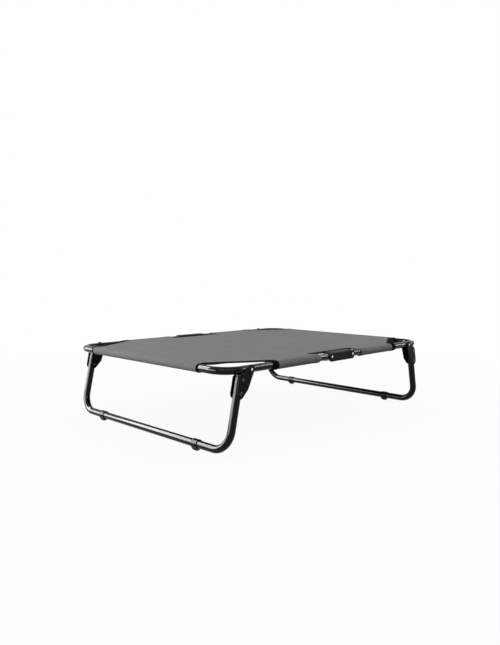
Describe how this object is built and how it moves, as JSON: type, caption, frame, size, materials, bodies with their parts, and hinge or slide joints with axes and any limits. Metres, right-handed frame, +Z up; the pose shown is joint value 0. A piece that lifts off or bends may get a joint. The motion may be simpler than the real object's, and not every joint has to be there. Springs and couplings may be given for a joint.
{
  "type": "folding raised pet cot",
  "caption": "Raised pet cot: a fabric deck sleeved on a tube frame that hinges in the middle, on splayed U-shaped tube legs that swing in under it, with rubber feet.",
  "frame": {"origin": "on the floor, under the middle of the cot", "axes": "+X along the cot towards end B, +Y across it towards the back, +Z up"},
  "size_m": [0.989, 0.7562, 0.2433],
  "materials": {
    "tube_paint": "gloss black powder coat",
    "plate_paint": "satin black paint on pressed steel",
    "rivet_paint": "painted over",
    "zinc": "bright zinc plate",
    "plug_plastic": "moulded black",
    "foot_rubber": "moulded black",
    "cover_cloth": "plain grey coated weave"
  },
  "bodies": {
    "frame_a": {"frame_tube_a": "tube_paint", "cover_panel_a": "cover_cloth", "cover_end_sleeve_a": "cover_cloth", "pivot_pin_a_front": "zinc", "cover_side_sleeve_a_front": "cover_cloth", "pivot_pin_a_back": "zinc", "cover_side_sleeve_a_back": "cover_cloth"},
    "hinge": {"cover_panel_middle": "cover_cloth", "hinge_bracket_front": "plate_paint", "hinge_pin_front_a": "zinc", "hinge_pin_front_b": "zinc", "hinge_bracket_back": "plate_paint", "hinge_pin_back_a": "zinc", "hinge_pin_back_b": "zinc"},
    "frame_b": {"frame_tube_b": "tube_paint", "cover_panel_b": "cover_cloth", "cover_end_sleeve_b": "cover_cloth", "pivot_pin_b_front": "zinc", "cover_side_sleeve_b_front": "cover_cloth", "pivot_pin_b_back": "zinc", "cover_side_sleeve_b_back": "cover_cloth"},
    "leg_a": {"leg_tube_a": "tube_paint", "leg_plug_a_front": "plug_plastic", "leg_rivets_a_front": "rivet_paint", "foot_a_front": "foot_rubber", "cheek_a_front_outer": "plate_paint", "cheek_a_front_inner": "plate_paint", "leg_plug_a_back": "plug_plastic", "leg_rivets_a_back": "rivet_paint", "foot_a_back": "foot_rubber", "cheek_a_back_outer": "plate_paint", "cheek_a_back_inner": "plate_paint"},
    "leg_b": {"leg_tube_b": "tube_paint", "leg_plug_b_front": "plug_plastic", "leg_rivets_b_front": "rivet_paint", "foot_b_front": "foot_rubber", "cheek_b_front_outer": "plate_paint", "cheek_b_front_inner": "plate_paint", "leg_plug_b_back": "plug_plastic", "leg_rivets_b_back": "rivet_paint", "foot_b_back": "foot_rubber", "cheek_b_back_outer": "plate_paint", "cheek_b_back_inner": "plate_paint"}
  },
  "joints": [
    {"name": "fold_a", "type": "hinge", "parent": "frame_a", "child": "hinge", "pos_m": [-0.053, 0, 0.2305], "axis": [0, 1, 0], "range_deg": [0, 84]},
    {"name": "fold_b", "type": "hinge", "parent": "hinge", "child": "frame_b", "pos_m": [0.053, 0, 0.2305], "axis": [0, 1, 0], "range_deg": [0, 84]},
    {"name": "leg_fold_a", "type": "hinge", "parent": "frame_a", "child": "leg_a", "pos_m": [-0.4, 0, 0.2305], "axis": [0, -1, 0], "range_deg": [0, 102]},
    {"name": "leg_fold_b", "type": "hinge", "parent": "frame_b", "child": "leg_b", "pos_m": [0.4, 0, 0.2305], "axis": [0, 1, 0], "range_deg": [0, 102]}
  ],
  "couplings": [
    {"joint": "fold_b", "follows": "fold_a", "ratio": 1},
    {"joint": "leg_fold_a", "follows": "fold_a", "ratio": 1.214},
    {"joint": "leg_fold_b", "follows": "fold_a", "ratio": 1.214}
  ]
}
